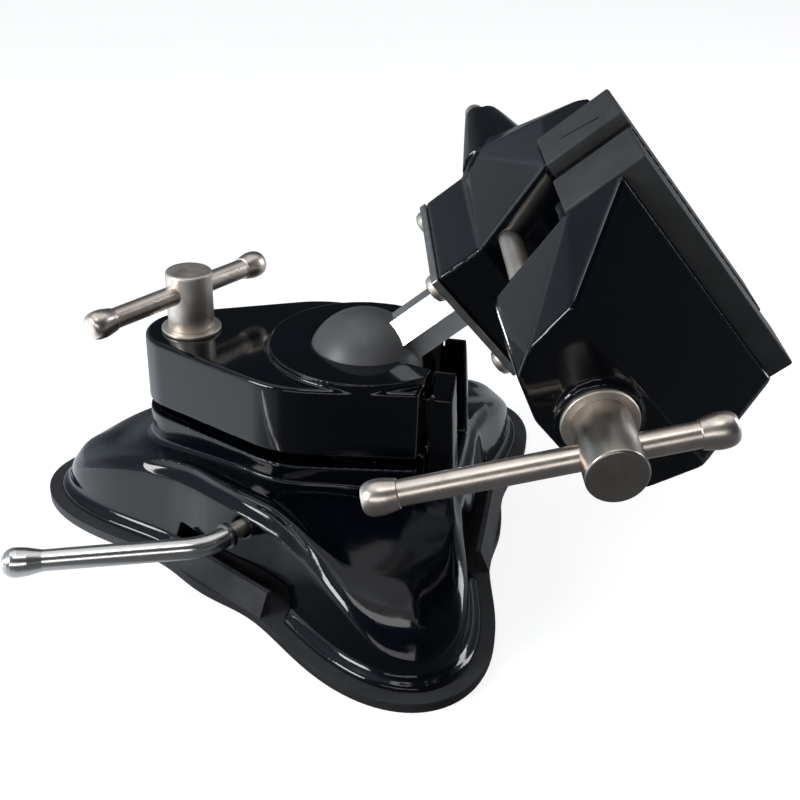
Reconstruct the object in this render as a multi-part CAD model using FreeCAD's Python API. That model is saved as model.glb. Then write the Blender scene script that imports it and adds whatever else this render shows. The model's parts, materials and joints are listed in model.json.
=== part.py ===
import FreeCAD, Part
import math
import os

# Suction base vise: a three-lobed hollow casting on a rubber suction pad, a
# clamp that holds a ball, and a small vise head on the ball's stem.
# Millimetres. Origin: middle of the pad's underside, +Z up, +X towards the
# side where the stem comes out of the clamp.
V = FreeCAD.Vector

# ---------------------------------------------------------------- dimensions
# pad and casting outline: r = RIM0 + RIM3 cos 3a + RIM6 cos 6a, lobes at 180, +-60
RIM0, RIM3, RIM6 = 69.7, 19.3, 5.0
PAD_T = 3.0                 # thickness of the rubber pad
FLAP_H = 10.0               # height of the pull flaps at the waists
PLATE_R, PLATE_T = 34.0, 1.5
LIFT = 4.0                  # how far the lever lifts the pad's middle
SHAFT_T, SHAFT_Z = 8.0, 21.9   # place of the lever's shaft across its own line
ECC_R, ECC_E = 5.0, 2.0
PLATFORM_Z = 36.5           # top of the lower clamp half
CL_Z0, CL_Z1 = 40.2, 61.5   # upper clamp
BOSS_Z, BOSS_R = 63.5, 28.55
TX = -43.1                  # clamp screw
C1_R, C2_X, C2_R = 13.9, -3.5, 31.0
END_X, END_Y = 31.0, 26.0   # outer corners of the clamp's open end
BALL = V(10.58, 0, 55.57)
BALL_R = 17.5
HINGE_X, HINGE_Z = 27.0, 51.0
STEM_AF = 14.0
PLATE_TOP = 40.0
JAW_W = 35.0                # half width of the jaws
COV_U0, COV_U1 = 82.6, 103.7
FIX_S0, FIX_S1 = 20.5, 36.2
MOV_S0, MOV_S1 = 45.4, 61.5
SP_U = 64.0                 # spindle axis above the ball
ROD_W, ROD_U, ROD_R = 18.0, 62.5, 3.0
SPIN_R = 4.5
HUB_R = 7.0
BAR_R = 3.0

# skirt ridge and inner crease of the casting against the angle off a lobe
PSI_A = [0, 6, 9, 11.3, 13.5, 15.5, 18, 21, 27, 34, 46, 60]
RID_R = [86.4, 83.8, 80.6, 76.9, 73.2, 69.9, 66.0, 61.5, 54.8, 49.7, 46.2, 45.1]
RID_Z = [9.5, 10.9, 12.9, 15.4, 17.5, 19.1, 20.6, 21.7, 23.2, 24.1, 25.1, 25.8]
PSI_B = [0, 10, 20, 30, 40, 50, 60]
CRE_R = [66.5, 64.6, 57.3, 49.0, 44.2, 42.6, 42.1]
CRE_Z = [22.2, 23.2, 26.7, 29.3, 30.1, 30.2, 30.2]
NPHI = 96


# ------------------------------------------------------------------- helpers
def box(x0, x1, y0, y1, z0, z1):
    return Part.makeBox(x1 - x0, y1 - y0, z1 - z0, V(x0, y0, z0))


def cyl(r, p, q):
    p, q = V(*p), V(*q)
    return Part.makeCylinder(r, (q - p).Length, p, q - p)


def cone(r1, r2, p, q):
    p, q = V(*p), V(*q)
    return Part.makeCone(r1, r2, (q - p).Length, p, q - p)


def fuse(*s):
    out = s[0]
    for k in s[1:]:
        out = out.fuse(k)
    return out.removeSplitter()


def cut(a, *s):
    for k in s:
        a = a.cut(k)
    return a


def poly(pts):
    return Part.Face(Part.makePolygon(pts + [pts[0]]))


def hull(pts):
    # convex solid around the points, one face for each plane that bounds them
    P = [V(*p) for p in pts]
    n = len(P)
    faces, seen = [], set()
    for i in range(n):
        for j in range(i + 1, n):
            for k in range(j + 1, n):
                nr = (P[j] - P[i]).cross(P[k] - P[i])
                if nr.Length < 1e-9:
                    continue
                nr.normalize()
                d = [(p - P[i]).dot(nr) for p in P]
                if min(d) < -1e-6 and max(d) > 1e-6:
                    continue
                if max(d) > 1e-6:
                    nr = nr * -1
                ids = tuple(m for m in range(n) if abs(d[m]) < 1e-6)
                if ids in seen:
                    continue
                seen.add(ids)
                c = V(0, 0, 0)
                for m in ids:
                    c = c + P[m]
                c = c * (1.0 / len(ids))
                ux = (P[ids[0]] - c).normalize()
                uy = nr.cross(ux)
                a = sorted(ids, key=lambda m: math.atan2((P[m] - c).dot(uy), (P[m] - c).dot(ux)))
                # leave out points inside an edge
                keep = []
                for q in range(len(a)):
                    p0, p1, p2 = P[a[q - 1]], P[a[q]], P[a[(q + 1) % len(a)]]
                    if (p1 - p0).cross(p2 - p1).Length > 1e-6:
                        keep.append(p1)
                faces.append(poly(keep))
    sh = Part.makeShell(faces)
    so = Part.makeSolid(sh)
    if so.Volume < 0:
        so.reverse()
    return so


def pchip(xs, ys, x):
    # smooth curve through a table, flat at both ends
    n = len(xs)
    h = [xs[i + 1] - xs[i] for i in range(n - 1)]
    m = [(ys[i + 1] - ys[i]) / h[i] for i in range(n - 1)]
    d = [0.0] * n
    for i in range(1, n - 1):
        if m[i - 1] * m[i] > 0:
            w1, w2 = 2 * h[i] + h[i - 1], h[i] + 2 * h[i - 1]
            d[i] = (w1 + w2) / (w1 / m[i - 1] + w2 / m[i])
    x = min(max(x, xs[0]), xs[-1])
    i = 0
    while i < n - 2 and x > xs[i + 1]:
        i += 1
    t = (x - xs[i]) / h[i]
    return (ys[i] * (1 + 2 * t) * (1 - t) ** 2 + h[i] * d[i] * t * (1 - t) ** 2
            + ys[i + 1] * t * t * (3 - 2 * t) + h[i] * d[i + 1] * t * t * (t - 1))


def psi_of(phi):
    # angle off the nearest lobe, degrees, 0 to 60
    a = (math.degrees(phi) + 180.0) % 120.0
    return min(a, 120.0 - a)


def rim_r(phi):
    return RIM0 + RIM3 * math.cos(3 * (phi - math.pi)) + RIM6 * math.cos(6 * (phi - math.pi))


def rim_off_table(off, n=1440):
    out = []
    for k in range(n):
        a = 2 * math.pi * k / n
        r = rim_r(a)
        dr = -3 * RIM3 * math.sin(3 * (a - math.pi)) - 6 * RIM6 * math.sin(6 * (a - math.pi))
        tx, ty = dr * math.cos(a) - r * math.sin(a), dr * math.sin(a) + r * math.cos(a)
        L = math.hypot(tx, ty)
        nx, ny = ty / L, -tx / L
        x, y = r * math.cos(a) - off * nx, r * math.sin(a) - off * ny
        out.append((math.atan2(y, x) % (2 * math.pi), math.hypot(x, y)))
    out.sort()
    return out


def tab_r(tab, phi):
    a = phi % (2 * math.pi)
    lo, hi = 0, len(tab)
    while lo < hi:
        mid = (lo + hi) // 2
        if tab[mid][0] < a:
            lo = mid + 1
        else:
            hi = mid
    p, q = tab[lo - 1], tab[lo % len(tab)]
    da = (q[0] - p[0]) % (2 * math.pi)
    t = ((a - p[0]) % (2 * math.pi)) / da if da > 0 else 0
    return p[1] + (q[1] - p[1]) * t


def clamp_r(phi, inset=0.0):
    # distance from the origin to the clamp's outline, without its open end's corners
    d = (math.cos(phi), math.sin(phi))
    sgn = 1 if d[1] >= 0 else -1
    c = (C1_R - C2_R) / (TX - C2_X)
    best = 1e9
    # tangent line
    al = math.acos((C1_R - C2_R) / (C2_X - TX))
    # outward normal of the line that touches both circles
    nx, ny = -math.cos(math.pi - al), math.sin(math.pi - al)
    nx, ny = math.cos(al), math.sin(al)
    sup = nx * C2_X + C2_R
    k = nx * d[0] + ny * abs(d[1])
    cand = (sup - inset) / k if k > 1e-6 else 1e9
    # which feature carries this direction
    px, py = cand * d[0], cand * abs(d[1])
    s1 = ny * TX * 1.0
    t1 = (-ny * (C1_R * nx + TX) * 1.0, 0)
    tx1, ty1 = TX + C1_R * nx, C1_R * ny
    tx2, ty2 = C2_X + C2_R * nx, C2_R * ny
    if k > 1e-6 and tx1 - 1e-6 <= px <= tx2 + 1e-6:
        return cand
    if d[0] < 0 and (k <= 1e-6 or px < tx1):
        cx, R = TX, C1_R - inset
    else:
        cx, R = C2_X, C2_R - inset
    b = d[0] * cx
    disc = R * R - (d[1] * cx) ** 2
    return b + math.sqrt(max(disc, 0.0))


def rounded(pts, cuts, nseg=3):
    # polyline with its inner corners cut by short curves
    out = [pts[0]]
    for i in range(1, len(pts) - 1):
        a, b, c = pts[i - 1], pts[i], pts[i + 1]
        la = math.hypot(b[0] - a[0], b[1] - a[1])
        lc = math.hypot(c[0] - b[0], c[1] - b[1])
        w = cuts[i]
        wa, wc = min(w, la * 0.45), min(w, lc * 0.45)
        p = (b[0] + (a[0] - b[0]) * wa / la, b[1] + (a[1] - b[1]) * wa / la)
        q = (b[0] + (c[0] - b[0]) * wc / lc, b[1] + (c[1] - b[1]) * wc / lc)
        for k in range(nseg + 1):
            t = k / float(nseg)
            out.append(((1 - t) ** 2 * p[0] + 2 * t * (1 - t) * b[0] + t * t * q[0],
                        (1 - t) ** 2 * p[1] + 2 * t * (1 - t) * b[1] + t * t * q[1]))
    out.append(pts[-1])
    return out


OFF_A = rim_off_table(4.0)
OFF_B = rim_off_table(4.2)
OFF_C = rim_off_table(7.0)
OFF_IN = rim_off_table(11.8)


def lobe180(phi):
    a = abs((math.degrees(phi) - 180.0 + 180.0) % 360.0 - 180.0)
    return math.exp(-(a / 32.0) ** 2)


def outer_profile(phi):
    ps = psi_of(phi)
    r2, z2 = pchip(PSI_A, RID_R, ps), pchip(PSI_A, RID_Z, ps)
    r1, z1 = pchip(PSI_B, CRE_R, ps), pchip(PSI_B, CRE_Z, ps)
    r0, z0 = clamp_r(phi) + 1.6, 30.6 - 4.6 * lobe180(phi)
    b = max(0.0, 1 - ps / 25.0) ** 1.5
    dx, dz = r1 - r2, z1 - z2
    L = math.hypot(dx, dz)
    nx, nz = dz / L, -dx / L
    pa = (r2 + dx * 0.33 + nx * 3.4 * b, z2 + dz * 0.33 + nz * 3.4 * b)
    pb = (r2 + dx * 0.67 + nx * 2.6 * b, z2 + dz * 0.67 + nz * 2.6 * b)
    pts = [(tab_r(OFF_A, phi), PAD_T), (tab_r(OFF_B, phi), 4.2), (tab_r(OFF_C, phi), 5.8),
           (r2, z2), pa, pb, (r1, z1), (r0, z0)]
    return rounded(pts, [0, 0.7, 1.6, 2.2, 3.0, 3.0, 3.0, 0]) + [(clamp_r(phi, 3.0), 31.2)]


def inner_profile(phi):
    ps = psi_of(phi)
    r2, z2 = pchip(PSI_A, RID_R, ps) - 4.4, pchip(PSI_A, RID_Z, ps) - 3.4
    r1, z1 = pchip(PSI_B, CRE_R, ps) - 4.6, pchip(PSI_B, CRE_Z, ps) - 4.6
    r0, z0 = clamp_r(phi) - 3.0, 26.0 - 4.0 * lobe180(phi)
    b = max(0.0, 1 - ps / 25.0) ** 1.5
    dx, dz = r1 - r2, z1 - z2
    L = math.hypot(dx, dz)
    nx, nz = dz / L, -dx / L
    pm = (r2 + dx * 0.5 + nx * 2.0 * b, z2 + dz * 0.5 + nz * 2.0 * b)
    return [(tab_r(OFF_IN, phi), 2.0), (r2, z2), pm, (r1, z1), (min(r0, r1 - 2.0), z0),
            (min(r0, r1 - 2.0) - 9.0, 26.2)]


def ring_wire(fn, k):
    pts = []
    for i in range(NPHI):
        a = 2 * math.pi * i / NPHI
        r, z = fn(a)[k]
        pts.append(V(r * math.cos(a), r * math.sin(a), z))
    c = Part.BSplineCurve()
    c.interpolate(Points=pts, PeriodicFlag=True)
    return Part.Wire([c.toShape()])


def lofted(fn):
    n = len(fn(0.0))
    return Part.makeLoft([ring_wire(fn, k) for k in range(n)], True, True)


def clamp_outline(inset, z):
    # C1 arc, tangent line, C2 arc, straight to the end corner, end face
    R1, R2 = C1_R - inset, C2_R - inset
    ex, ey = END_X - inset, END_Y - inset
    al = math.acos((C1_R - C2_R) / (C2_X - TX))
    a1 = V(TX + R1 * math.cos(al), R1 * math.sin(al), z)
    a2 = V(C2_X + R2 * math.cos(al), R2 * math.sin(al), z)
    dd = math.hypot(ex - C2_X, ey)
    be = math.atan2(ey, ex - C2_X) + math.acos(R2 / dd)
    a3 = V(C2_X + R2 * math.cos(be), R2 * math.sin(be), z)
    mid = (al + be) / 2
    am = V(C2_X + R2 * math.cos(mid), R2 * math.sin(mid), z)
    a4 = V(ex, ey, z)
    a5 = V(ex + 1.5, 0.53 * ey, z)

    def m(p):
        return V(p.x, -p.y, p.z)
    e = [Part.Arc(m(a1), V(TX - R1, 0, z), a1).toShape(),
         Part.LineSegment(a1, a2).toShape(),
         Part.Arc(a2, am, a3).toShape(),
         Part.LineSegment(a3, a4).toShape(),
         Part.LineSegment(a4, a5).toShape(),
         Part.LineSegment(a5, m(a5)).toShape(),
         Part.LineSegment(m(a5), m(a4)).toShape(),
         Part.LineSegment(m(a4), m(a3)).toShape(),
         Part.Arc(m(a3), m(am), m(a2)).toShape(),
         Part.LineSegment(m(a2), m(a1)).toShape()]
    return Part.Face(Part.Wire(e))


def clamp_prism(inset, z0, z1):
    return clamp_outline(inset, z0).extrude(V(0, 0, z1 - z0))


def save(name, *solids):
    s = solids[0] if len(solids) == 1 else Part.makeCompound(list(solids))
    bad = [k for k in s.Solids if not k.isValid() or k.Volume <= 0]
    print("%-18s solids %d  volume %9.1f%s" % (name, len(s.Solids), s.Volume, "  BAD" if bad else ""))
    s.exportStep("parts/%s.step" % name)


os.makedirs("parts", exist_ok=True)

# direction of the lever's shaft, outwards, and across it
LN = V(math.cos(math.radians(-120)), math.sin(math.radians(-120)), 0)
LT = V(-LN.y, LN.x, 0)


def lv(n, t, z):
    p = LN * n + LT * t
    return (p.x, p.y, z)


# ---------------------------------------------------------------- rubber pad
pad_pts = []
for i in range(NPHI):
    a = 2 * math.pi * i / NPHI
    pad_pts.append(V(rim_r(a) * math.cos(a), rim_r(a) * math.sin(a), 0))
bs = Part.BSplineCurve()
bs.interpolate(Points=pad_pts, PeriodicFlag=True)
pad = Part.Face(Part.Wire([bs.toShape()])).extrude(V(0, 0, PAD_T))
flaps = []
for ang, t0, t1 in ((-120, -17, 24), (0, -24, 24), (120, -24, 17)):
    n = V(math.cos(math.radians(ang)), math.sin(math.radians(ang)), 0)
    t = V(-n.y, n.x, 0)
    sec = [(54.2, 1.0), (54.4, 3.0), (51.4, FLAP_H), (49.9, FLAP_H), (51.6, 1.0)]
    w = [n * a + t * t0 + V(0, 0, z) for a, z in sec]
    flaps.append(poly(w).extrude(t * (t1 - t0)))
save("suction_disc", fuse(pad, *flaps))

# ------------------------------------------------------ lifting plate and yoke
save("disc_plate", Part.makeCylinder(PLATE_R, PLATE_T, V(0, 0, PAD_T)))
yk = [V(*lv(-3, t, z)) for t, z in ((-3.2, 4.5), (19.2, 4.5), (19.2, 24), (15.5, 28.2), (0.5, 28.2), (-3.2, 24))]
yoke = poly(yk).extrude(LN * 6)
ecc_z = SHAFT_Z - ECC_E
sl = [V(*lv(-4, t, z)) for t, z in ((0.3, ecc_z - 5.55), (15.7, ecc_z - 5.55), (15.7, ecc_z + 5.55), (0.3, ecc_z + 5.55))]
yoke = yoke.cut(poly(sl).extrude(LN * 8))
save("lift_yoke", yoke)

# --------------------------------------------------------------- base casting
outer = lofted(outer_profile)
inner = lofted(inner_profile)
platform = clamp_prism(0.0, 26.5, PLATFORM_Z)
body = outer.fuse(platform)
# cheeks in front of the clamp's open end, one each side of the stem's slot
for sg in (1, -1):
    ck = hull([(33.1, sg * 11, 62.0), (39.6, sg * 11, 62.0), (33.1, sg * 17.3, 55.3), (39.5, sg * 17.3, 55.3),
               (33.1, sg * 19.5, 27.0), (41.6, sg * 19.5, 27.0), (33.1, sg * 11, 27.0), (42.0, sg * 11, 27.0)])
    body = body.fuse(ck)
body = body.removeSplitter()
# pockets of the lower clamp half, open at the top
pocket = clamp_prism(2.6, 30.8, PLATFORM_Z + 1).cut(box(20.0, 60, -60, 60, 20, 60))
keep = [cyl(8.5, (TX, 0, 20), (TX, 0, 60)), cyl(16.6, (BALL.x, 0, 20), (BALL.x, 0, 60)),
        box(TX, 20, -1.3, 1.3, 20, 60)]
for ang in (62, -62, 118, -118, 152, -152):
    c, s = math.cos(math.radians(ang)), math.sin(math.radians(ang))
    rib = Part.makeBox(60, 2.4, 40, V(0, -1.2, 20))
    rib.Placement = FreeCAD.Placement(V(BALL.x, 0, 0), FreeCAD.Rotation(V(0, 0, 1), ang))
    keep.append(rib)
for k in keep:
    pocket = pocket.cut(k)
body = body.cut(pocket)
body = body.cut(inner)
# slot floor between the cheeks
body = body.cut(box(32.5, 60, -11, 11, 31.5, 70))
# pillar with the ball's seat
seat = Part.makeCylinder(15.0, 45.5 - 31.0, V(BALL.x, 0, 31.0))
body = body.fuse(seat)
body = body.cut(Part.makeSphere(BALL_R + 0.35, BALL))
# boss for the clamp screw, and the web that carries the shaft's inner end
body = body.fuse(Part.makeCylinder(8.0, 20.0, V(TX, 0, 14.0)))
web = [V(*lv(-14, t, z)) for t, z in ((-14, 13), (24, 13), (24, 27.5), (-14, 27.5))]
body = body.fuse(poly(web).extrude(LN * 5))
body = body.cut(Part.makeCylinder(4.06, 40, V(TX, 0, 10)))
# ears for the hinge pins
for sg in (1, -1):
    y0, y1 = (15.0, 18.0) if sg > 0 else (-18.0, -15.0)
    ear = box(22.0, 33.6, y0, y1, 30.0, 56.0).cut(
        hull([(21, y0 - 1, 57), (21, y1 + 1, 57), (21, y0 - 1, 50), (21, y1 + 1, 50), (27, y0 - 1, 57), (27, y1 + 1, 57)]))
    body = body.fuse(ear)
    body = body.cut(cyl(2.5, (HINGE_X, y0 - 1, HINGE_Z), (HINGE_X, y1 + 1, HINGE_Z)))
# room for the yoke
rc = [V(*lv(-4.6, t, 4)) for t in (-4.2, 20.2)] + [V(*lv(-4.6, t, 32.9)) for t in (20.2, -4.2)]
body = body.cut(poly(rc).extrude(LN * 9.2))
# shaft holes
body = body.cut(cyl(2.86, lv(-20, SHAFT_T, SHAFT_Z), lv(0, SHAFT_T, SHAFT_Z)))
body = body.cut(cyl(3.1, lv(20, SHAFT_T, SHAFT_Z), lv(60, SHAFT_T, SHAFT_Z)))
# notches in the skirt behind the flaps
for ang, t0, t1 in ((-120, -18, 28), (0, -27, 27), (120, -28, 18)):
    n = V(math.cos(math.radians(ang)), math.sin(math.radians(ang)), 0)
    t = V(-n.y, n.x, 0)
    w = [n * 40 + t * a + V(0, 0, z) for a, z in ((t0 - 2.5, 2.0), (t0, 11.5), (t1, 11.5), (t1 + 2.5, 2.0))]
    body = body.cut(poly(w).extrude(n * 30))
body = body.removeSplitter()
if len(body.Solids) > 1:
    body = sorted(body.Solids, key=lambda k: -k.Volume)[0]
save("base_casting", body)

# ------------------------------------------------------------ lever and shaft
shaft = fuse(cyl(2.3, lv(40, SHAFT_T, SHAFT_Z), lv(50.3, SHAFT_T, SHAFT_Z)),
             cyl(2.8, lv(-16.6, SHAFT_T, SHAFT_Z), lv(40, SHAFT_T, SHAFT_Z)),
             cyl(ECC_R, lv(-3.6, SHAFT_T, SHAFT_Z - ECC_E), lv(3.6, SHAFT_T, SHAFT_Z - ECC_E)))
shaft = shaft.cut(cyl(8, lv(-15.7, SHAFT_T, SHAFT_Z), lv(-14.6, SHAFT_T, SHAFT_Z)).cut(
    cyl(2.2, lv(-20, SHAFT_T, SHAFT_Z), lv(0, SHAFT_T, SHAFT_Z))))
save("lever_shaft", shaft)
clip = cyl(3.8, lv(-15.6, SHAFT_T, SHAFT_Z), lv(-14.7, SHAFT_T, SHAFT_Z)).cut(
    cyl(2.2, lv(-20, SHAFT_T, SHAFT_Z), lv(0, SHAFT_T, SHAFT_Z)))
save("shaft_clip", clip)
save("lever_collar", cyl(3.7, lv(50.3, SHAFT_T, SHAFT_Z), lv(51.6, SHAFT_T, SHAFT_Z)))
L0 = V(*lv(51.6, SHAFT_T, SHAFT_Z))
LC = V(*lv(58.6, SHAFT_T, SHAFT_Z))
LE = V(*lv(97.8, -24.6, SHAFT_Z))
d1, d2 = (LC - L0).normalize(), (LE - LC).normalize()
turn = math.acos(d1.dot(d2))
tl = 5.6
Rb = tl / math.tan(turn / 2)
pa, pb = LC - d1 * tl, LC + d2 * tl
bis = (d2 - d1).normalize()
ctr = LC + bis * (Rb / math.cos(turn / 2))
pm = ctr - bis * Rb
ring = Part.Face(Part.Wire([Part.Circle(pa, d1, 3.05).toShape()]))
bend = ring.revolve(ctr, d1.cross(d2).normalize(), math.degrees(turn))
hr = 4.2
tip = [V(0, 0, -7.2), V(3.05, 0, -7.2), V(3.4, 0, -5.6), V(3.9, 0, -3.4), V(hr, 0, -0.8)]
tip += [V(hr * math.cos(k * math.pi / 14), 0, hr * math.sin(k * math.pi / 14)) for k in range(8)]
bulb = Part.Face(Part.makePolygon(tip + [tip[0]])).revolve(V(0, 0, 0), V(0, 0, 1), 360)
bulb.Placement = FreeCAD.Placement(LE, FreeCAD.Rotation(V(0, 0, 1), d2))
rod = Part.makeCylinder(3.05, (pa - L0).Length, L0, d1).fuse(bend)
rod = rod.fuse(Part.makeCylinder(3.05, (LE - pb).Length - 7.0, pb, d2)).fuse(bulb)
save("suction_lever", rod.removeSplitter())

# ---------------------------------------------------------------- upper clamp
cl = clamp_prism(0.0, CL_Z0, CL_Z1)
try:
    top = [e for e in cl.Edges if min(v.Z for v in e.Vertexes) > CL_Z1 - 0.01]
    cl = cl.makeFillet(1.4, top)
except Exception:
    pass
boss = Part.makeCylinder(BOSS_R, BOSS_Z - CL_Z1 + 3, V(BALL.x, 0, CL_Z1 - 3))
boss = boss.common(clamp_prism(0.0, CL_Z0, BOSS_Z + 1))
cl = cl.fuse(boss)
room = clamp_prism(4.2, CL_Z0 - 1, 56.0).cut(box(20.0, 60, -60, 60, 20, 60))
for k in (cyl(8.8, (TX, 0, 20), (TX, 0, 60)), cyl(22.3, (BALL.x, 0, 20), (BALL.x, 0, 60)), box(TX, 0, -1.4, 1.4, 20, 60)):
    room = room.cut(k)
cl = cl.cut(room)
# socket, mouth and slot
cl = cl.cut(Part.makeSphere(BALL_R + 0.45, BALL))
cl = cl.cut(cyl(BALL_R + 0.45, (BALL.x, 0, 30), (BALL.x, 0, BALL.z)))
cl = cl.cut(cone(16.7, 18.9, (BALL.x, 0, 60.4), (BALL.x, 0, BOSS_Z)).fuse(cyl(18.9, (BALL.x, 0, BOSS_Z - 0.01), (BALL.x, 0, 70))))
slot = poly([V(BALL.x, -11.2, 30), V(24.4, -11.2, 30), V(34, -14.1, 30), V(34, 14.1, 30), V(24.4, 11.2, 30), V(BALL.x, 11.2, 30)]).extrude(V(0, 0, 50))
cl = cl.cut(slot)
# pockets for the ears
for sg in (1, -1):
    y0, y1 = (14.6, 18.4) if sg > 0 else (-18.4, -14.6)
    cl = cl.cut(box(19.5, 40, y0, y1, CL_Z0 - 1, 58.0))
    yo = 22.5 * sg
    cl = cl.cut(cyl(2.57, (HINGE_X, 12.0 * sg, HINGE_Z), (HINGE_X, yo, HINGE_Z)))
cl = cl.cut(cyl(4.9, (TX, 0, 30), (TX, 0, 70)))
cl = cl.removeSplitter()
if len(cl.Solids) > 1:
    cl = sorted(cl.Solids, key=lambda k: -k.Volume)[0]
save("upper_clamp", cl)
save("hinge_pins", *[cyl(2.5, (HINGE_X, 14.0 * sg, HINGE_Z), (HINGE_X, 22.3 * sg, HINGE_Z)) for sg in (1, -1)])


# ---------------------------------------------------------- screws and T-bars
def bar_end(c, d):
    # barrel end of a T-bar: c is its middle, d points outwards
    c, d = V(*c), V(*d).normalize()
    prof = [(0, -4.2), (3.45, -4.2), (3.7, -3.9), (4.0, -2.0), (4.1, 0.0), (4.0, 1.8), (3.4, 3.1), (2.2, 3.9), (0.0, 4.2)]
    pts = [V(r, 0, z) for r, z in prof]
    f = Part.Face(Part.makePolygon(pts + [pts[0]]))
    s = f.revolve(V(0, 0, 0), V(0, 0, 1), 360)
    s.Placement = FreeCAD.Placement(c, FreeCAD.Rotation(V(0, 0, 1), d))
    return s


def hub(r, h):
    # round head along +Z from z 0 to h, chamfered at its end
    prof = [V(0, 0, 0), V(r, 0, 0), V(r, 0, h - 0.9), V(r - 0.9, 0, h), V(0, 0, h)]
    return Part.Face(Part.makePolygon(prof + [prof[0]])).revolve(V(0, 0, 0), V(0, 0, 1), 360)


TB = V(0.475, 0.880, 0).normalize()
washer = Part.makeCylinder(9.0, 1.2, V(TX, 0, CL_Z1)).cut(Part.makeCylinder(4.3, 5, V(TX, 0, CL_Z1 - 1)))
save("clamp_washer", washer)
h = hub(HUB_R - 0.1, 17.8)
h.translate(V(TX, 0, 62.7))
scr = fuse(h, Part.makeCylinder(4.0, 62.7 - 18.0, V(TX, 0, 18.0)))
bc = V(TX, 0, 74.4)
scr = scr.cut(Part.makeCylinder(BAR_R + 0.08, 40, bc - TB * 20, TB))
save("clamp_screw", scr)
bn, bf = bc - TB * 33.2, bc + TB * 26.0
bar = Part.makeCylinder(BAR_R, (bf - bn).Length - 8.4, bn + TB * 4.2, TB)
save("clamp_bar", bar)
save("clamp_bar_ends", bar_end(bn, TB * -1), bar_end(bf, TB))

# ------------------------------------------------------------- ball and stem
save("swivel_ball", Part.makeSphere(BALL_R, BALL))

# the head is built in its own frame: X across the jaws, -Y towards the
# spindle's handle, Z along the stem, origin at the ball's centre
HEAD = FreeCAD.Placement(BALL, FreeCAD.Rotation(V(0, 0, 1), 8.25) * FreeCAD.Rotation(V(0, 1, 0), 50.098)
                         * FreeCAD.Rotation(V(0, 0, 1), 7.77))


def put(s):
    s = s.copy()
    s.Placement = HEAD.multiply(s.Placement)
    return s


def q(w, s, u):
    # across, towards the handle, along the stem
    return (w, -s, u)


hexp = []
for k in range(6):
    a = math.radians(-42.4 + 60 * k)
    R = STEM_AF / 2 / math.cos(math.radians(30))
    hexp.append(V(R * math.cos(a), R * math.sin(a), 0))
stem = poly(hexp).extrude(V(0, 0, PLATE_TOP - 2.2)).cut(Part.makeSphere(BALL_R + 0.05, V(0, 0, 0)))
stem = stem.cut(Part.makeCylinder(4.0, 60, V(0, 0, 22.0)))
save("ball_stem", put(stem))

plate = box(-19.4, 19.4, -21.2, 26.3, PLATE_TOP - 2.2, PLATE_TOP)
plate = plate.cut(Part.makeCylinder(4.1, 20, V(0, 0, 30)))
SCR = [(sx * 15.3, sy) for sx in (1, -1) for sy in (-17.1, 22.2)]
for x, y in SCR:
    plate = plate.cut(Part.makeCylinder(1.9, 10, V(x, y, 35)))
save("head_plate", put(plate))
ps = []
for x, y in SCR:
    prof = [(0, PLATE_TOP - 4.6), (2.6, PLATE_TOP - 4.6), (3.6, PLATE_TOP - 4.0), (4.0, PLATE_TOP - 3.0), (4.0, PLATE_TOP - 2.2),
            (1.8, PLATE_TOP - 2.2), (1.8, 49.0), (0, 50.0)]
    f = Part.Face(Part.makePolygon([V(a, 0, b) for a, b in prof] + [V(prof[0][0], 0, prof[0][1])]))
    s = f.revolve(V(0, 0, 0), V(0, 0, 1), 360)
    cr = fuse(box(-2.3, 2.3, -0.45, 0.45, PLATE_TOP - 5, PLATE_TOP - 3.4), box(-0.45, 0.45, -2.3, 2.3, PLATE_TOP - 5, PLATE_TOP - 3.4))
    s = s.cut(cr)
    s.translate(V(x, y, 0))
    ps.append(put(s))
save("plate_screws", *ps)
hx = [V(6.5 / math.cos(math.radians(30)) * math.cos(math.radians(60 * k)), 6.5 / math.cos(math.radians(30)) * math.sin(math.radians(60 * k)), PLATE_TOP) for k in range(6)]
ss = fuse(poly(hx).extrude(V(0, 0, 5.3)), Part.makeCylinder(4.0, PLATE_TOP - 23.0, V(0, 0, 23.0)))
save("stem_screw", put(ss))

# ------------------------------------------------------------------ fixed jaw
fx = box(-19.4, 19.4, -21.0, 26.0, PLATE_TOP, 54.5)
upper = []
for sg in (1, -1):
    upper += [q(sg * 19.4, -26, 54), q(sg * 23.6, -26, 58.5), q(sg * 23.8, -26, 68.0), q(sg * 19.0, -26, 75.5),
              q(sg * 19.4, 21, 54), q(sg * 30.5, -3.0, 80.5), q(sg * 33.8, 8.6, 85.5), q(sg * 34.3, 14.6, 96.2),
              q(sg * 34.3, 17.2, 98.4), q(sg * 34.3, 20.5, 98.6), q(sg * 33.2, 33.0, 82.0), q(sg * 34.0, 33.0, 82.6),
              q(sg * 34.0, 24.0, 98.5)]
fx = fx.fuse(hull(upper))
fx = fx.cut(box(-JAW_W - 1, JAW_W + 1, -FIX_S1 - 1, -FIX_S0, COV_U0, COV_U1 + 5))
# tongue under the cover
fx = fx.fuse(box(-32.0, 32.0, -32.2, -24.0, 80.0, 100.5))
# guide bosses behind, each with a rib above it
for sg in (1, -1):
    fx = fx.fuse(cone(8.2, 4.15, q(sg * ROD_W, -20, ROD_U), q(sg * (ROD_W - 0.3), -60.5, ROD_U + 0.6)))
    rb = [(-60.5, 20.6, 64.5), (-60.5, 19.8, 67.9), (-60.5, 17.0, 69.9), (-60.5, 14.6, 66.2),
          (-24.0, 23.0, 66.0), (-24.0, 21.0, 75.6), (-24.0, 14.5, 78.0), (-24.0, 11.0, 70.0)]
    fx = fx.fuse(hull([q(sg * x, y, z) for y, x, z in rb]))
# spindle boss
fx = fx.fuse(cyl(8.4, q(0, -34.0, SP_U), q(0, -20.0, SP_U)))
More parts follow.
